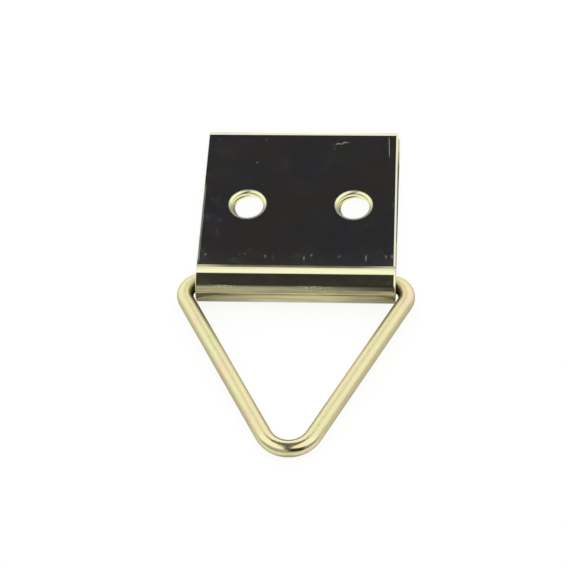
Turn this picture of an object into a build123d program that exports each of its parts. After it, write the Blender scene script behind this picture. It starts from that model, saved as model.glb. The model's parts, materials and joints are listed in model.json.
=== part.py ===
from build123d import *
import math
import os

# A triangle picture hanger: a strip of thin sheet steel folded double round the top run of
# a bent wire triangle, with two nail holes punched through both leaves of the strip.
# All sizes are in millimetres and all angles in degrees.
# Frame: the origin is midway between the two nail holes, on the face that lies against the
# picture frame. +X runs along the barrel, +Y up the leaves, +Z out of the front leaf.

# Folded strip
plate_width = 20.0          # width of the strip, which is also the length of the barrel
sheet = 0.5                 # thickness of the sheet
leaf_gap = 0.1              # air left between the two leaves
leaf_height = 20.1          # top edge of the front leaf above the axis of the barrel
front_creep = 0.13          # the front leaf stands this much left of the ends of the barrel
front_spread = 0.07         # and is this much wider than the barrel on each side
back_leaf_drop = 0.35       # how much lower the back leaf ends
back_lean = 0.35            # the back leaf leans this much clockwise, seen from the front
leaf_corner_radius = 0.3    # corners of the leaves, in plan
creep_blend_radius = 3.0    # eases the sides of the front leaf into the ends of the barrel
lean_blend_radius = 100.0   # eases the sides of the back leaf into their lean
end_roll_length = 0.55      # how far shearing drew down the outer skin at the strip's cut ends
end_roll_depth = 0.2        # and how deep
side_roll = 0.2             # rounding that slitting left on the outer skin, on the side of +X
burr_side_roll = 0.06       # and on the other side, where the burr was on the outer skin

# Barrel, the loop of the strip that holds the wire
barrel_radius = 1.75        # outside radius of the rolled end
flank_angle = 45.0          # slope of the flanks between the barrel and the leaves
neck_radius = 0.4           # outside radius of the bend where a flank meets its leaf

# Nail holes
hole_radius = 1.6
hole_spacing = 11.0
hole_height = 10.0          # centres above the axis of the barrel
hole_roll = 0.36            # rounding that the punch left round each hole
back_hole_shift = 0.2       # the back leaf's holes stand this much to the right of the front's
back_hole_rise = 0.03       # and this much higher

# Ring, one length of round wire bent to a triangle, its ends butted inside the barrel
wire_radius = 0.84
ring_width = 24.4           # between the two upper corners of the centre line, if sharp
ring_height = 21.2          # from the top run to the lower corner of the centre line, if sharp
upper_bend_radius = 1.5     # centre line of the two upper corners
apex_bend_radius = 2.8      # centre line of the lower corner
wire_lift = 0.25            # wire axis above the axis of the rolled end
butt_gap = 0.5              # between the two cut ends of the wire

# Sizes that follow from these
leaf_middle = (leaf_gap + sheet) / 2
back_face = leaf_gap / 2 + sheet
section_top = leaf_height + barrel_radius
outline_reach = 4 * barrel_radius
drill_length = 3 * sheet
to_frame = Location((0, -hole_height, back_face))

# How near an edge must lie to a surface to count as lying on it, and how far an edge may
# turn towards the barrel's direction and still count as a side of the strip
touch = 0.001
most_across = 0.9

# How far round the curve of a drawn end goes, which takes it clear past the end itself
drawn_turn = 60


def neck_position(offset):
    """Where the flat of a leaf ends, on the skin that lies offset outside mid-sheet."""
    slope = math.radians(flank_angle)
    roll = barrel_radius - sheet / 2
    neck = neck_radius + sheet / 2
    height = (roll + neck - (leaf_middle + neck) * math.cos(slope)) / math.sin(slope)
    return height, leaf_middle + neck, neck - offset, roll + offset


def skin(offset):
    """One skin of the folded sheet in the YZ plane, from the top of the front leaf to the back's."""
    neck_y, neck_z, neck, roll = neck_position(offset)
    face = leaf_middle + offset
    turn = 180 + 2 * flank_angle
    front_leaf = Line((section_top, face), (neck_y, face))
    front_neck = CenterArc((neck_y, neck_z), neck, -90, -flank_angle)
    rolled_end = CenterArc((0, 0), roll, 90 - flank_angle, turn)
    back_neck = CenterArc((neck_y, -neck_z), neck, 90 + flank_angle, -flank_angle)
    back_leaf = Line((neck_y, -face), (section_top, -face))
    front_flank = Line(front_neck @ 1, rolled_end @ 0)
    back_flank = Line(rolled_end @ 1, back_neck @ 0)
    return [front_leaf, front_neck, front_flank, rolled_end, back_flank, back_neck, back_leaf]


def folded_section():
    """The sheet's section, closed at the two cut edges of the strip."""
    outside = skin(sheet / 2)
    inside = skin(-sheet / 2)
    caps = [Line(outside[0] @ 0, inside[0] @ 0), Line(outside[-1] @ 1, inside[-1] @ 1)]
    return make_face(Wire(outside + inside + caps).edges())


def vertices_between(plan, low, high):
    """Corners of a plan that lie between two heights."""
    return [v for v in plan.vertices() if low < v.Y < high]


def leaf_top(side):
    """Height of the cut end of the front leaf, side 1, or the back leaf, side -1."""
    return leaf_height - (back_leaf_drop if side < 0 else 0)


def front_outline():
    """Plan of the front leaf, run on past the barrel."""
    half = plate_width / 2
    neck_y = neck_position(sheet / 2)[0]
    leaf_right = half + front_spread - front_creep
    leaf_left = -half - front_spread - front_creep
    right = [(half, -outline_reach), (half, barrel_radius / 2), (leaf_right, neck_y)]
    left = [(leaf_left, neck_y), (-half, barrel_radius / 2), (-half, -outline_reach)]
    top = [(leaf_right, leaf_height), (leaf_left, leaf_height)]
    plan = make_face(Polyline(right + top + left, close=True).edges())
    return fillet(vertices_between(plan, 0, neck_y + sheet), creep_blend_radius)


def back_outline():
    """Plan of the back leaf, which leans from the barrel's axis upwards."""
    half = plate_width / 2
    top = leaf_top(-1)
    lean = math.tan(math.radians(back_lean))
    right = [(half, -outline_reach), (half, 0), (half + top * lean, top - half * lean)]
    left = [(-half + top * lean, top + half * lean), (-half, 0), (-half, -outline_reach)]
    plan = make_face(Polyline(right + left, close=True).edges())
    return fillet(vertices_between(plan, -sheet, sheet), lean_blend_radius)


def corner_waste(plan):
    """What a plan loses where its two upper corners are rounded."""
    return plan - fillet(plan.vertices().sort_by(Axis.Y)[-2:], leaf_corner_radius)


def hole_centres(side):
    """Centres of the nail holes in the front leaf, side 1, or the back leaf, side -1."""
    turn = math.radians(back_lean if side < 0 else 0)
    shift, rise = (back_hole_shift, back_hole_rise) if side < 0 else (0, 0)
    centres = []
    for across in (-hole_spacing / 2, hole_spacing / 2):
        x = across * math.cos(turn) + hole_height * math.sin(turn) + shift
        y = hole_height * math.cos(turn) - across * math.sin(turn) + rise
        centres.append((x, y))
    return centres


def drawn_end(side):
    """What shearing drew off the outer skin at the cut end of a leaf."""
    outer_skin = leaf_middle + sheet / 2
    start = leaf_top(side) - end_roll_length
    radius = (end_roll_length**2 + end_roll_depth**2) / (2 * end_roll_depth)
    curve = CenterArc((start, outer_skin - radius), radius, 90, -drawn_turn)
    clear = outer_skin + sheet
    outside = Polyline(curve @ 1, ((curve @ 1).X, clear), (start, clear), curve @ 0)
    profile = Plane.YZ * make_face(curve.edges() + outside.edges())
    cutter = extrude(profile, amount=plate_width, both=True)
    return cutter if side > 0 else Rot(0, 0, -back_lean) * mirror(cutter, about=Plane.XY)


def is_on_outside(edge):
    """True for an edge that runs along the outer skin where the strip was sheared or punched."""
    outer_skin = leaf_middle + sheet / 2
    neck_y, neck_z, neck, roll = neck_position(sheet / 2)
    slope = math.radians(flank_angle)
    for t in (0.0, 0.5, 1.0):
        p = edge.position_at(t)
        on_leaf = abs(abs(p.Z) - outer_skin) < touch and p.Y > neck_y - touch
        on_neck = abs(math.hypot(p.Y - neck_y, abs(p.Z) - neck_z) - neck) < touch
        on_roll = abs(math.hypot(p.Y, p.Z) - roll) < touch
        on_flank = abs(p.Y * math.sin(slope) + abs(p.Z) * math.cos(slope) - roll) < touch
        if not (on_leaf or on_neck or on_roll or on_flank):
            return False
    return True


def is_hole_rim(edge):
    """True for a full circle of the punch's size."""
    return edge.geom_type == GeomType.CIRCLE and edge.is_closed and abs(edge.radius - hole_radius) < touch


def is_slit(edge, side):
    """True for an edge of the strip's side towards +X, side 1, or -X, side -1."""
    beside = side * edge.position_at(0.5).X > plate_width / 2 - sheet
    along = abs(edge.tangent_at(0.5).X) < most_across
    return beside and along and is_on_outside(edge)


def trimmed_half(outline, side):
    """The part of the folded sheet on one side of the gap, trimmed to its plan, with worn edges."""
    bar = extrude(Plane.YZ * folded_section(), amount=plate_width, both=True)
    half = bar & extrude(outline, amount=side * outline_reach)
    half = fillet([e for e in half.edges() if is_slit(e, 1)], side_roll)
    half = fillet([e for e in half.edges() if is_slit(e, -1)], burr_side_roll)
    half -= extrude(corner_waste(outline), amount=side * outline_reach)
    return half - drawn_end(side)


def punched(half, side):
    """A leaf with its two nail holes, rounded on the outer skin."""
    for x, y in hole_centres(side):
        drill = Pos(x, y, side * back_face) * Cylinder(hole_radius, drill_length)
        half -= drill
    return fillet([e for e in half.edges() if is_hole_rim(e) and is_on_outside(e)], hole_roll)


def make_folded_plate():
    front = punched(trimmed_half(front_outline(), 1), 1)
    back = punched(trimmed_half(back_outline(), -1), -1)
    return front + back


def apex_half_angle():
    return math.atan(ring_width / 2 / ring_height)


def rest_tilt():
    """How far the ring drops behind the leaves when the hanger lies on its back."""
    apex = ring_height - apex_bend_radius * (1 / math.sin(apex_half_angle()) - 1)
    lean = math.asin((barrel_radius - back_face) / (leaf_top(-1) - end_roll_length))
    drop = barrel_radius - wire_radius - wire_lift * math.sin(lean)
    return math.degrees(lean + math.asin(drop / apex))


def ring_path():
    """Centre line of the wire, in the ring's own plane, from one cut end round to the other."""
    half = ring_width / 2
    cut = butt_gap / 2
    corners = [(-cut, 0), (-half, 0), (0, -ring_height), (half, 0), (cut, 0)]
    return FilletPolyline(*corners, radius=[upper_bend_radius, apex_bend_radius, upper_bend_radius])


def make_triangle_ring():
    path = ring_path()
    start = Plane(origin=path @ 0, z_dir=path % 0)
    wire = sweep(start * Circle(wire_radius), path=path)
    return Pos(0, wire_lift, 0) * Rot(rest_tilt(), 0, 0) * wire


def main():
    os.makedirs("parts", exist_ok=True)
    nodes = {"folded_plate": make_folded_plate(), "triangle_ring": make_triangle_ring()}
    for name, solid in nodes.items():
        export_step(to_frame * solid, f"parts/{name}.step")
    print(f"ring at rest {rest_tilt():.3f} degrees behind the leaves")


main()
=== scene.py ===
import json
import math

import bpy
from bpy.props import FloatProperty, FloatVectorProperty, PointerProperty
from mathutils import Matrix, Vector


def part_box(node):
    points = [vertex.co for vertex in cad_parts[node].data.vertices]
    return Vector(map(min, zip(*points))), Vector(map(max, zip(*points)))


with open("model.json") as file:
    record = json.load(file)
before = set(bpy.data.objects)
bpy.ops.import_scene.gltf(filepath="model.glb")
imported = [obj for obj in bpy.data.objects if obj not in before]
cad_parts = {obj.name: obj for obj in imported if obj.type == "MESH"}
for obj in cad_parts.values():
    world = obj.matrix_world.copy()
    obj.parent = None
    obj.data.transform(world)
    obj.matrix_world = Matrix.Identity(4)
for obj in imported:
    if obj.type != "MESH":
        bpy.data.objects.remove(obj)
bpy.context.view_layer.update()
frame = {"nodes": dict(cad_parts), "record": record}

bl_info = {
    "name": "Triangle Picture Hanger",
    "version": (1, 0, 0),
    "blender": (4, 5, 0),
    "location": "View3D > Sidebar > Hanger",
    "description": "Finishes and stage for a folded picture hanger with a swinging triangle ring",
    "category": "Object",
}

# The frame is in metres, and the places below are in millimetres, which the materials work in.
MM = 0.001

# Fixing holes, either side of the origin, and how far round them the punch rolled the sheet
HOLES = next(mount for mount in frame["record"]["mounts"] if mount["name"] == "fixing_holes")["dims"]
HOLE_ACROSS = HOLES["spacing_x_mm"] / 2
HOLE_RADIUS = HOLES["hole_r_mm"]
HOLE_ROLL = 0.36

# Plate: the axis of the barrel, the outer skin of the front leaf, the inner skin of the back leaf,
# the bend between the front leaf and the barrel, and how far that bend reaches down
BARREL_Y = -10.0
BARREL_Z = 0.55
LEAF_FACE_Z = 1.1
GAP_Z = 0.5
NECK_Y = -7.9
NECK_REACH = 0.29

# Ring: each leg's slant and its centre line across it, the radius and the place of the two upper
# bends, and the top of the lower bend
LEG_SLANT = math.radians(30)
LEG_ACROSS = 15.44
BEND_RADIUS = 1.5
BEND_ALONG = -4.94
APEX_BEND_Y = -26.6

BARREL_AXIS = Vector((0.0, BARREL_Y * MM, BARREL_Z * MM))

# Where each part of the surroundings lies, seen from the hanger. Over is in degrees from straight
# up, towards the back, and below zero towards the front. Aside is the rightward part of the
# direction, and height its upward part, each from -1 to 1. The dark place round the camera is
# skewed, by so many radians of over for each step aside.
SWEEP_OVER = (42.5, 48.0)
ROOM_OVER = (-38.0, -60.0)
GAP_ASIDE = (-0.16, 0.03)
CAMERA_OVER = (-73.0, -30.0)
CAMERA_ASIDE = (-0.04, 0.58)
CAMERA_SKEW = 0.58
LOW_HEIGHT = (0.32, 0.1)
LOW_ASIDE = (0.3, 0.6)


def colour(name, default, description):
    """A colour that a user may change."""
    return FloatVectorProperty(
        name=name, description=description, subtype="COLOR", size=3, min=0.0, max=1.0, default=default
    )


def share(name, default, description, highest=1.0):
    """A plain number from 0 up."""
    return FloatProperty(name=name, description=description, min=0.0, max=highest, default=default)


def angle(name, degrees, description):
    """An angle, given in degrees."""
    return FloatProperty(
        name=name, description=description, subtype="ANGLE", unit="ROTATION", default=math.radians(degrees)
    )


def length(name, millimetres, description):
    """A length, given in millimetres."""
    return FloatProperty(
        name=name, description=description, subtype="DISTANCE", unit="LENGTH", default=millimetres * MM
    )


class PlateFinish(bpy.types.PropertyGroup):
    """The bright plating of the folded plate, with shade painted round the barrel, in its bend and in the
    holes.
    """

    straw: colour("Straw", (0.95, 0.93, 0.58), "Main tint of the plating")
    lime: colour("Lime", (0.84, 0.97, 0.62), "Greenish patches in the plating")
    rose: colour("Rose", (0.97, 0.86, 0.70), "Pinkish patches in the plating")
    violet: colour("Violet", (0.74, 0.74, 0.81), "Faint violet bloom on the leaves")
    # Painted shade: a deeper, slightly darker gold over the lower front of the barrel.
    underside_shade: colour("Amber", (0.97, 0.90, 0.51), "Deeper tint round the front of the barrel")
    # Brown painted shade at the barrel's right end; also the brown on the lower part of the ledge.
    brown: colour("Brown", (0.60, 0.51, 0.35), "Brown stain at the barrel's right end")
    # Olive painted shade: streaks along the lower front of the barrel, and a patch at its left end.
    olive: colour("Olive", (0.40, 0.37, 0.27), "Olive stain at the barrel's left end")
    # Painted shade in the lower side of the punched holes.
    hole_shade: colour("Dull", (0.26, 0.25, 0.22), "Dull metal at the lower side of the punched holes")
    # Painted shade: a dark olive line along the bend above the barrel.
    crease_shade: colour("Crease", (0.06, 0.06, 0.025), "Dark olive line along the bend above the barrel")
    mirror: share("Mirror", 0.05, "Roughness of the polished sheet")
    haze: share("Haze", 0.03, "Roughness added where the sheet is hazy")
    bend: share("Bend", 0.02, "Roughness added where the sheet is bent round the barrel")
    rim: share("Rims", 0.2, "Roughness added round the punched holes")
    scratch: share("Scratches", 0.4, "How strongly the scratches and specks show")


class RingFinish(bpy.types.PropertyGroup):
    """The bright plating of the wire ring, with shade and reflection painted inside its upper bends."""

    straw: colour("Straw", (0.96, 0.88, 0.52), "Main tint of the plating")
    lime: colour("Lime", (0.91, 0.90, 0.50), "Greenish patches in the plating")
    rose: colour("Rose", (0.97, 0.80, 0.56), "Pinkish patches in the plating")
    # Painted shade and reflection inside the two upper bends.
    bend_shade: colour("Smoke", (0.30, 0.26, 0.18), "Brown stain inside the two upper bends")
    edge: colour("Edge", (0.62, 0.56, 0.46), "Tint where the wire is seen at a low slant")
    drawn: share("Drawn", 0.37, "Roughness of the drawn wire")
    polish: share("Polish", 0.28, "Roughness taken off where bending burnished the wire")
    grain: share("Grain", 0.9, "How strongly the drawing marks show")


class StageSettings(bpy.types.PropertyGroup):
    """Floor, surroundings and camera."""

    floor_tone: share("Floor tone", 0.16, "Grey of the pale floor")
    floor_lift: share("Floor lift", 0.89, "Light added to the floor where it is seen direct")
    mirror_lift: share("Floor lift in metal", 0.16, "Light added to the floor where metal shows it")
    # Patches of painted reflection in the floor, which only metal shows.
    middle_lift: share(
        "Floor lift in the middle", 0.28, "More of that light, in front of the barrel's middle"
    )
    ahead_lift: share("Floor lift ahead", 0.2, "More of that light, in front of the ring")
    beside_lift: share("Floor lift beside", 0.28, "More of that light, outside the ring's two legs")
    under_lift: share("Floor lift behind", 0.5, "More of that light, under and behind the plate")
    sides: share("Side boxes", 1.0, "Level of the two long soft boxes", 4.0)
    sweep: share("Backdrop", 1.0, "Level of the white sweep behind", 4.0)
    front: share("Front", 0.40, "Level of the room in front", 4.0)
    low: share("Low sides", 0.16, "Level of the sides near the floor", 4.0)
    gap: colour("Gap", (0.028, 0.0265, 0.030), "The dark gap between the soft boxes, and round the camera")
    azimuth: angle("Azimuth", 6.795, "Camera's turn round the plate")
    elevation: angle("Elevation", 52.874, "Camera's height above the plane of the plate")
    roll: angle("Roll", -4.757, "Camera's turn about its own view")
    distance: length("Distance", 190.16, "Camera to barrel")
    across: length("Across", 1.2135, "Barrel's middle right of the picture's middle")
    above: length("Above", -0.1135, "Barrel's middle above the picture's middle")
    lens: share("Lens", 120.0, "Focal length on a 36 mm wide sensor, in millimetres", 500.0)


class Reading:
    """A socket of a node tree. Arithmetic on it adds Math nodes."""

    def __init__(self, nodes, socket):
        self.nodes = nodes
        self.socket = socket

    def __add__(self, other):
        return self.nodes.maths("ADD", self, other)

    def __sub__(self, other):
        return self.nodes.maths("SUBTRACT", self, other)

    def __rsub__(self, other):
        return self.nodes.maths("SUBTRACT", other, self)

    def __mul__(self, other):
        return self.nodes.maths("MULTIPLY", self, other)

    def __pow__(self, other):
        return self.nodes.maths("POWER", self, other)

    def __rpow__(self, other):
        return self.nodes.maths("POWER", other, self)

    def __abs__(self):
        return self.nodes.maths("ABSOLUTE", self)

    __radd__ = __add__
    __rmul__ = __mul__


class Made:
    """A node that has been added, whose outputs are read by name."""

    def __init__(self, nodes, node):
        self.nodes = nodes
        self.node = node

    def __getitem__(self, name):
        return Reading(self.nodes, find_socket(self.node.outputs, name))


def find_socket(sockets, name):
    """A socket by its identifier, or else by its name."""
    for socket in sockets:
        if socket.identifier == name:
            return socket
    return sockets[name]


class Nodes:
    """The nodes of a material or the world."""

    def __init__(self, tree):
        self.tree = tree
        tree.nodes.clear()

    def add(self, kind, settings=None, sockets=None):
        """Adds a node. Its settings are set first, and then the values or links of its sockets."""
        node = self.tree.nodes.new(kind)
        for name, value in (settings or {}).items():
            setattr(node, name, value)
        for name, value in (sockets or {}).items():
            socket = find_socket(node.inputs, name)
            if isinstance(value, Reading):
                self.tree.links.new(value.socket, socket)
            else:
                socket.default_value = value
        return Made(self, node)

    def maths(self, operation, a, b=0.0):
        return self.add("ShaderNodeMath", {"operation": operation}, {"Value": a, "Value_001": b})["Value"]

    def step(self, value, low, high):
        """0 up to low and 1 from high, rising smoothly between them, or falling where low is above high."""
        ends = {"Value": value, "From Min": low, "From Max": high}
        return self.add("ShaderNodeMapRange", {"interpolation_type": "SMOOTHSTEP"}, ends)["Result"]

    def window(self, value, low, high, soft):
        """1 between low and high, and 0 outside, with soft edges."""
        return self.step(value, low - soft, low + soft) * self.step(value, high + soft, high - soft)

    def blend(self, share_of_b, a, b):
        """Colour a, with this share of colour b."""
        colours = {"Factor_Float": share_of_b, "A_Color": rgba(a), "B_Color": rgba(b)}
        return self.add("ShaderNodeMix", {"data_type": "RGBA"}, colours)["Result_Color"]

    def scaled(self, vector, factors):
        both = {"Vector": vector, "Vector_001": factors}
        return self.add("ShaderNodeVectorMath", {"operation": "MULTIPLY"}, both)["Vector"]

    def axes(self, vector):
        split = self.add("ShaderNodeSeparateXYZ", None, {"Vector": vector})
        return split["X"], split["Y"], split["Z"]

    def vector(self, x, y, z):
        return self.add("ShaderNodeCombineXYZ", None, {"X": x, "Y": y, "Z": z})["Vector"]

    def noise(self, vector, scale, detail=2.0):
        """Smooth noise, mostly between 0.3 and 0.7. The scale is its features for each millimetre."""
        dials = {"Vector": vector, "Scale": scale, "Detail": detail}
        return self.add("ShaderNodeTexNoise", None, dials)["Fac"]

    def millimetres(self):
        """Places on the object, in millimetres."""
        place = self.add("ShaderNodeTexCoord")["Object"]
        return self.scaled(place, (1 / MM, 1 / MM, 1 / MM))

    def seen_direct(self, path):
        """1 for what the camera sees itself, or through something clear, and 0 for what metal shows."""
        return self.maths("MAXIMUM", path["Is Camera Ray"], path["Is Transmission Ray"])


def rgba(tint):
    return tint if isinstance(tint, Reading) else (*tint, 1.0)


def grey(level):
    return (level, level, level)


def far_from(a, b):
    """How far off a point is, from how far it is off in two directions."""
    return (a**2.0 + b**2.0) ** 0.5


def leg_places(x, y):
    """Places in the frame of either leg of the ring: up along it, and outwards across it."""
    along = abs(x) * math.sin(LEG_SLANT) + y * math.cos(LEG_SLANT)
    across = abs(x) * math.cos(LEG_SLANT) - y * math.sin(LEG_SLANT)
    return along, across


def start_material(name):
    material = bpy.data.materials.new(name)
    material.use_nodes = True
    return material, Nodes(material.node_tree)


def finish_metal(nodes, tint, roughness, height, edge=(1.0, 1.0, 1.0)):
    """Ends a metal's node tree. The height is in millimetres."""
    bump = nodes.add("ShaderNodeBump", None, {"Strength": 1.0, "Distance": MM, "Height": height})
    surface = {
        "Base Color": tint,
        "Metallic": 1.0,
        "Roughness": roughness,
        "Normal": bump["Normal"],
        "Specular Tint": rgba(edge),
    }
    metal = nodes.add("ShaderNodeBsdfPrincipled", None, surface)
    nodes.add("ShaderNodeOutputMaterial", None, {"Surface": metal["BSDF"]})


class PlatePlaces:
    """Where a point of the plate lies. Each mask is 1 in its place and 0 elsewhere."""

    def __init__(self, nodes):
        self.place = nodes.millimetres()
        self.x, self.y, z = nodes.axes(self.place)
        x, y = self.x, self.y

        # Degrees round the barrel from straight out of the front, and below zero towards the ring
        self.turned = nodes.maths("ARCTAN2", y - BARREL_Y, z - BARREL_Z) * math.degrees(1.0)

        # Streaks in the plating, which run along the barrel
        self.streaks = nodes.noise(nodes.scaled(self.place, (0.25, 3.0, 3.0)), 1.0, 3.0)

        self.leaf = nodes.step(y, NECK_Y - 0.5, NECK_Y + 0.5)
        self.barrel = 1 - self.leaf
        outward = nodes.step(z, LEAF_FACE_Z - 0.2, LEAF_FACE_Z - 0.05)
        self.front = outward * self.leaf

        # The rounded rims of the fixing holes, and the flat outer skins round them
        from_hole = far_from(abs(x) - HOLE_ACROSS, y)
        rim_edge = HOLE_RADIUS + HOLE_ROLL
        self.rim = nodes.step(from_hole, rim_edge + 0.06, rim_edge - 0.02)
        skin_height = LEAF_FACE_Z - BARREL_Z
        outer = nodes.step(abs(z - BARREL_Z), skin_height - 0.05, skin_height - 0.01)
        self.skin = outer * self.leaf * (1 - self.rim)

        # The back leaf's inner skin, where it shows beside the front leaf
        beside_front = nodes.step(x, 9.7, 9.85)
        self.ledge = nodes.window(z, GAP_Z - 0.1, GAP_Z + 0.06, 0.03) * beside_front * self.leaf

        # The bend between the front leaf and the barrel
        neck_end = NECK_Y - NECK_REACH
        below_leaf = nodes.step(y, NECK_Y + 0.03, NECK_Y - 0.02)
        self.neck = below_leaf * nodes.step(y, neck_end - 0.06, neck_end + 0.02) * outward


def plate_tint(nodes, at, finish):
    """Straw with lime, rose and violet patches, painted shade round the barrel, in its bend and on the
    lower side of the holes' rims, and brown on the ledge at the right side.
    """
    patches = nodes.noise(at.place, 0.16)
    bloom = nodes.noise(nodes.scaled(at.place, (1.0, 0.6, 1.0)), 0.3, 3.0)
    lime = nodes.step(patches, 0.5, 0.68) * (at.skin * 0.4 + 0.2)
    rose = nodes.step(patches, 0.48, 0.3) * (at.skin * 0.3 + 0.3)
    violet = at.skin * (nodes.step(bloom, 0.4, 0.7) * 0.35 + 0.45)
    # Brown on the ledge, fading out between 7 and 8.4 mm up.
    ledge_brown = at.ledge * nodes.step(at.y, 8.4, 7.0)
    # Painted shade in the hollow on the lower side of each hole's rim.
    rim_shade = at.rim * nodes.step(at.y, 0.8, -0.8) * 0.85

    # Painted shade round the lower front of the barrel: a deeper gold, darker olive streaks, and olive and
    # brown patches towards its two ends
    underside_shade = nodes.step(at.turned, -38.0, -50.0) * at.barrel
    streak_shade = nodes.step(at.streaks, 0.46, 0.62) * nodes.step(at.turned, -46.0, -56.0) * at.barrel * 0.4
    uneven = nodes.step(at.streaks, 0.4, 0.6) * 0.5 + 0.5
    left_end_shade = nodes.step(at.x, -2.0, -7.5) * nodes.window(at.turned, -78.0, -62.0, 4.0) * at.barrel
    right_end_shade = nodes.step(at.x, 2.0, 9.0) * nodes.window(at.turned, -72.0, -46.0, 8.0) * at.barrel
    # A dark line of painted shade along the bend above the barrel, fainter towards both ends.
    crease_shade = at.neck * (nodes.step(abs(at.x), 10.0, 6.0) * 0.5 + 0.5) * (uneven * 0.1 + 0.85)

    layers = (
        (lime, finish.lime),
        (rose, finish.rose),
        (violet, finish.violet),
        (ledge_brown, finish.brown),
        (rim_shade, finish.hole_shade),
        (underside_shade, finish.underside_shade),
        (streak_shade, finish.olive),
        (left_end_shade * uneven, finish.olive),
        (right_end_shade * uneven * 0.55, finish.brown),
        (crease_shade, finish.crease_shade),
    )
    tint = finish.straw
    for mask, stain in layers:
        tint = nodes.blend(mask, tint, stain)
    return tint


def plate_flecks(nodes, at):
    """Fine bright flecks along the front of the barrel, in two fields."""
    spangle = nodes.step(nodes.noise(at.place, 11.0, 0.0), 0.62, 0.74)
    fields = nodes.window(at.x, -8.0, -6.4, 1.2) + nodes.window(at.x, 0.6, 3.4, 1.6)
    return spangle * fields * nodes.window(at.turned, -49.0, -41.0, 5.0) * at.barrel


def plate_marks(nodes, at):
    """Hairlines and specks all over, a straight and a crooked scratch, and nicks above the bend."""
    x, y = at.x, at.y
    hair = nodes.noise(nodes.scaled(at.place, (6.0, 0.35, 6.0)), 1.0, 1.0)
    broken = nodes.step(nodes.noise(at.place, 0.9), 0.56, 0.64)
    hairlines = nodes.step(abs(hair - 0.5), 0.008, 0.0) * broken
    specks = nodes.step(nodes.noise(at.place, 2.4, 1.0), 0.73, 0.83)

    straight = nodes.step(abs(x + y * 0.03 - 9.27), 0.035, 0.01) * nodes.window(y, 6.6, 9.4, 0.8)
    drift = nodes.noise(nodes.vector(x, 0.0, 0.0), 1.8, 1.0) * 1.2
    crooked = nodes.step(abs(y - x * 0.4 + drift - 7.4), 0.05, 0.02) * nodes.window(x, 3.4, 4.7, 0.3)
    nicked = nodes.step(nodes.noise(nodes.scaled(at.place, (3.5, 1.0, 1.0)), 1.0, 1.0), 0.62, 0.72)
    nicks = nicked * nodes.window(y, -7.3, -6.4, 0.3)
    on_front = straight * 0.25 + crooked * 0.4 + nicks * 0.25
    return hairlines * 0.07 + specks * 0.22 + on_front * at.front


def plate_plating(finish):
    """Mirror-bright yellow plating with a faint bloom, rough rims, and a few scratches and specks."""
    material, nodes = start_material("plate_plating")
    at = PlatePlaces(nodes)
    tint = plate_tint(nodes, at, finish)
    flecks = plate_flecks(nodes, at)
    marks = plate_marks(nodes, at) + flecks * 1.5

    haze = nodes.step(nodes.noise(at.place, 0.5, 4.0), 0.45, 0.8)
    roughness = haze * finish.haze + at.rim * finish.rim + marks * finish.scratch + finish.mirror
    roughness += at.barrel * (at.streaks * 0.5 + 0.75) * finish.bend

    # Duller towards the barrel, at both ends of the ledge, and down the left edge
    near_barrel = nodes.step(at.y, -5.0, -8.0) * at.leaf
    ledge_ends = nodes.step(abs(at.y - 1.0), 4.5, 7.5) * 0.45 + 0.08
    left_edge = nodes.step(at.x, -9.85, -10.05) * nodes.window(at.y, -7.5, 2.6, 0.8) * at.front
    roughness += near_barrel * 0.03 + at.ledge * ledge_ends + left_edge * 0.12

    # Slow waves from rolling, fine grit, sunk marks and raised flecks
    wave = nodes.noise(nodes.scaled(at.place, (0.25, 1.0, 1.0)), 0.35, 1.0)
    grit = nodes.noise(at.place, 9.0, 3.0)
    height = wave * 0.012 + grit * 0.0004 - marks * 0.004 + flecks * 0.02
    finish_metal(nodes, tint, roughness, height)
    return material


def ring_plating(finish):
    """Bright yellow plating on drawn wire, with pink and green patches, fine drawing marks, and painted
    shade and reflection inside the upper bends.
    """
    material, nodes = start_material("ring_plating")
    place = nodes.millimetres()
    x, y, z = nodes.axes(place)
    along, across = leg_places(x, y)

    patches = nodes.noise(nodes.vector(across, along * 0.5, z + x * 0.6), 0.55, 3.0)
    tint = nodes.blend(nodes.step(patches, 0.52, 0.7), finish.straw, finish.rose)
    tint = nodes.blend(nodes.step(patches, 0.46, 0.3), tint, finish.lime)

    # Painted shade and reflection on the inner side of the two upper bends, which fades out down the legs
    round_bend = nodes.maths("MAXIMUM", along - BEND_ALONG, 0.0)
    from_bend = far_from(across - (LEG_ACROSS - BEND_RADIUS), round_bend)
    inner = nodes.step(from_bend, BEND_RADIUS - 0.2, BEND_RADIUS - 0.55) * nodes.step(y, -19.0, -12.0)
    tint = nodes.blend(inner * (patches * 0.6 + 0.55), tint, finish.bend_shade)

    marks = nodes.noise(nodes.scaled(nodes.vector(across, along, z), (9.0, 0.7, 9.0)), 1.0, 3.0)
    grain = nodes.noise(place, 6.0, 3.0)
    burnished = nodes.step(y, APEX_BEND_Y, APEX_BEND_Y - 1.2)
    roughness = marks * 0.1 * finish.grain + grain * 0.06 - burnished * finish.polish + finish.drawn
    height = marks * (1 - burnished * 0.8) * 0.012 * finish.grain + grain * 0.002
    finish_metal(nodes, tint, roughness, height, finish.edge)
    return material


def dress(node, material):
    """Gives a CAD node this material alone."""
    mesh = frame["nodes"][node].data
    mesh.materials.clear()
    mesh.materials.append(material)


def rest_plane():
    """The plane that the hanger lies on: its height under the barrel's axis, and its slope along Y."""
    radius = BARREL_AXIS.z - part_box("folded_plate")[0].z
    arms = [vertex.co - BARREL_AXIS for vertex in frame["nodes"]["folded_plate"].data.vertices]
    arms = [arm for arm in arms if arm.y > 2 * radius]
    slope = min(math.atan2(arm.z, arm.y) + math.asin(radius / math.hypot(arm.y, arm.z)) for arm in arms)
    return BARREL_AXIS.z - radius / math.cos(slope), slope


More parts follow.
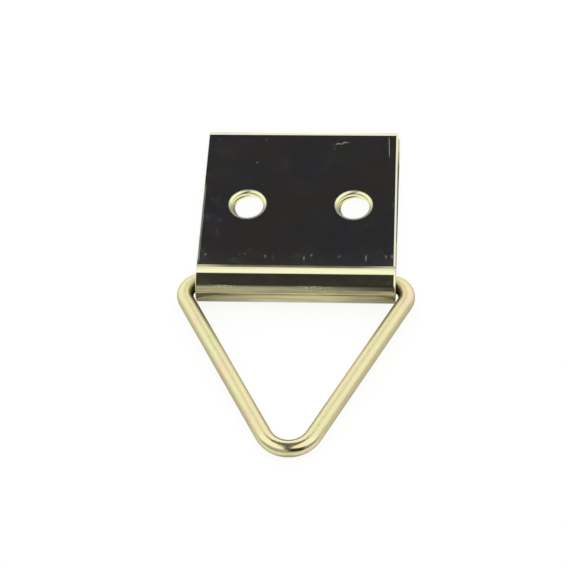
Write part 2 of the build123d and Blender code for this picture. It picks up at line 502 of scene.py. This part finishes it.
def pale_floor(settings):
    """White paper. Where metal shows it, its light varies from place to place in patches of painted
    reflection.
    """
    material, nodes = start_material("pale_floor")
    x, y = nodes.axes(nodes.millimetres())[:2]
    across = leg_places(x, y)[1]
    # Painted reflection: where metal shows the floor, it glows brighter in front of the barrel's middle,
    # ahead of the ring, beside its legs, and under and behind the plate.
    middle = nodes.step(abs(x), 11.0, 2.0) * nodes.step(y, -22.0, -17.0)
    behind = nodes.step(y, BARREL_Y - 2.0, BARREL_Y + 2.0)
    ahead = nodes.step(y, -24.0, -30.0)
    beside = nodes.step(across - LEG_ACROSS, -0.3, 1.0) * nodes.step(y, BARREL_Y + 1.0, BARREL_Y - 2.0)
    reflection_glow = behind * settings.under_lift + middle * settings.middle_lift + ahead * settings.ahead_lift
    reflection_glow += beside * settings.beside_lift + settings.mirror_lift

    path = nodes.add("ShaderNodeLightPath")
    lift = nodes.seen_direct(path) * settings.floor_lift + path["Is Glossy Ray"] * reflection_glow
    paper = nodes.add("ShaderNodeBsdfDiffuse", None, {"Color": rgba(grey(settings.floor_tone))})
    glow = nodes.add("ShaderNodeEmission", None, {"Color": rgba(grey(1.0)), "Strength": lift})
    both = nodes.add("ShaderNodeAddShader", None, {"Shader": paper["BSDF"], "Shader_001": glow["Emission"]})
    nodes.add("ShaderNodeOutputMaterial", None, {"Surface": both["Shader"]})
    return material


def make_floor(settings):
    """A large flat floor in the plane that the hanger lies on."""
    height, slope = rest_plane()
    half = 1.5
    turn = Matrix.Rotation(slope, 4, "X")
    centre = Vector((0.0, BARREL_AXIS.y, height))
    ends = ((-half, -half), (half, -half), (half, half), (-half, half))
    corners = [centre + turn @ Vector((x, y, 0.0)) for x, y in ends]
    mesh = bpy.data.meshes.new("floor")
    mesh.from_pydata(corners, [], [(0, 1, 2, 3)])
    mesh.materials.append(pale_floor(settings))
    floor = bpy.data.objects.new("floor", mesh)
    bpy.context.scene.collection.objects.link(floor)


def make_surroundings(settings):
    """White boxes at both sides and a white sweep behind, with a dark gap overhead, all at a distance."""
    world = bpy.data.worlds.new("studio")
    world.use_nodes = True
    bpy.context.scene.world = world
    nodes = Nodes(world.node_tree)
    x, y, z = nodes.axes(nodes.add("ShaderNodeTexCoord")["Generated"])
    over = nodes.maths("ARCTAN2", y, z) * math.degrees(1.0)
    sweep = nodes.step(over, *SWEEP_OVER)
    room = nodes.step(over, *ROOM_OVER)
    boxes = 1 - nodes.window(x, *GAP_ASIDE, 0.02)
    low = nodes.step(z, *LOW_HEIGHT) * (nodes.step(x, *LOW_ASIDE) + nodes.step(0 - x, *LOW_ASIDE) * 0.5)
    skewed = over + x * math.degrees(CAMERA_SKEW)
    round_camera = nodes.window(x, *CAMERA_ASIDE, 0.05) * nodes.window(skewed, *CAMERA_OVER, 4.6)

    layers = (
        (boxes, grey(settings.sides)),
        (room, grey(settings.front)),
        (low, grey(settings.low)),
        (round_camera, settings.gap),
        (sweep, grey(settings.sweep)),
        (nodes.seen_direct(nodes.add("ShaderNodeLightPath")), grey(1.0)),
    )
    light = settings.gap
    for mask, level in layers:
        light = nodes.blend(mask, light, level)
    glow = nodes.add("ShaderNodeBackground", None, {"Color": light, "Strength": 1.0})
    nodes.add("ShaderNodeOutputWorld", None, {"Surface": glow["Background"]})


def make_camera(settings):
    """A camera that looks at the barrel from the front and above."""
    a, e, roll = settings.azimuth, settings.elevation, settings.roll
    back = Vector((math.sin(a) * math.cos(e), -math.cos(a) * math.cos(e), math.sin(e)))
    level = Vector((math.cos(a), math.sin(a), 0.0))
    upright = back.cross(level)
    right = math.cos(roll) * level + math.sin(roll) * upright
    up = back.cross(right)
    camera = bpy.data.objects.new("camera", bpy.data.cameras.new("camera"))
    place = BARREL_AXIS + back * settings.distance - right * settings.across - up * settings.above
    camera.matrix_world = Matrix.Translation(place) @ Matrix((right, up, back)).transposed().to_4x4()
    camera.data.sensor_width = 36.0
    camera.data.lens = settings.lens
    camera.data.clip_start = 0.01
    camera.data.clip_end = 20.0
    bpy.context.scene.collection.objects.link(camera)
    bpy.context.scene.camera = camera


class HANGER_OT_finish_plate(bpy.types.Operator):
    """Gives the folded plate its plating"""

    bl_idname = "hanger.finish_plate"
    bl_label = "Finish the Plate"

    def execute(self, context):
        dress("folded_plate", plate_plating(context.scene.hanger_plate))
        return {"FINISHED"}


class HANGER_OT_finish_ring(bpy.types.Operator):
    """Gives the triangle ring its plating"""

    bl_idname = "hanger.finish_ring"
    bl_label = "Finish the Ring"

    def execute(self, context):
        dress("triangle_ring", ring_plating(context.scene.hanger_ring))
        return {"FINISHED"}


class HANGER_OT_set_stage(bpy.types.Operator):
    """Makes the floor, the surroundings and the camera"""

    bl_idname = "hanger.set_stage"
    bl_label = "Set the Stage"

    def execute(self, context):
        settings = context.scene.hanger_stage
        make_floor(settings)
        make_surroundings(settings)
        make_camera(settings)
        context.scene.view_settings.view_transform = "Standard"
        return {"FINISHED"}


class HANGER_PT_panel(bpy.types.Panel):
    """Lists the hanger's steps"""

    bl_idname = "HANGER_PT_panel"
    bl_label = "Picture Hanger"
    bl_space_type = "VIEW_3D"
    bl_region_type = "UI"
    bl_category = "Hanger"

    def draw(self, context):
        for step in OPERATORS:
            self.layout.operator(step.bl_idname)


OPERATORS = (HANGER_OT_finish_plate, HANGER_OT_finish_ring, HANGER_OT_set_stage)
SETTINGS = {"hanger_plate": PlateFinish, "hanger_ring": RingFinish, "hanger_stage": StageSettings}


def register():
    for group in SETTINGS.values():
        bpy.utils.register_class(group)
    for name, group in SETTINGS.items():
        setattr(bpy.types.Scene, name, PointerProperty(type=group))
    for step in (*OPERATORS, HANGER_PT_panel):
        bpy.utils.register_class(step)


def unregister():
    for step in (HANGER_PT_panel, *reversed(OPERATORS)):
        bpy.utils.unregister_class(step)
    for name, group in SETTINGS.items():
        delattr(bpy.types.Scene, name)
        bpy.utils.unregister_class(group)


def main():
    register()
    bpy.ops.hanger.finish_plate()
    bpy.ops.hanger.finish_ring()
    bpy.ops.hanger.set_stage()


if __name__ == "__main__":
    main()
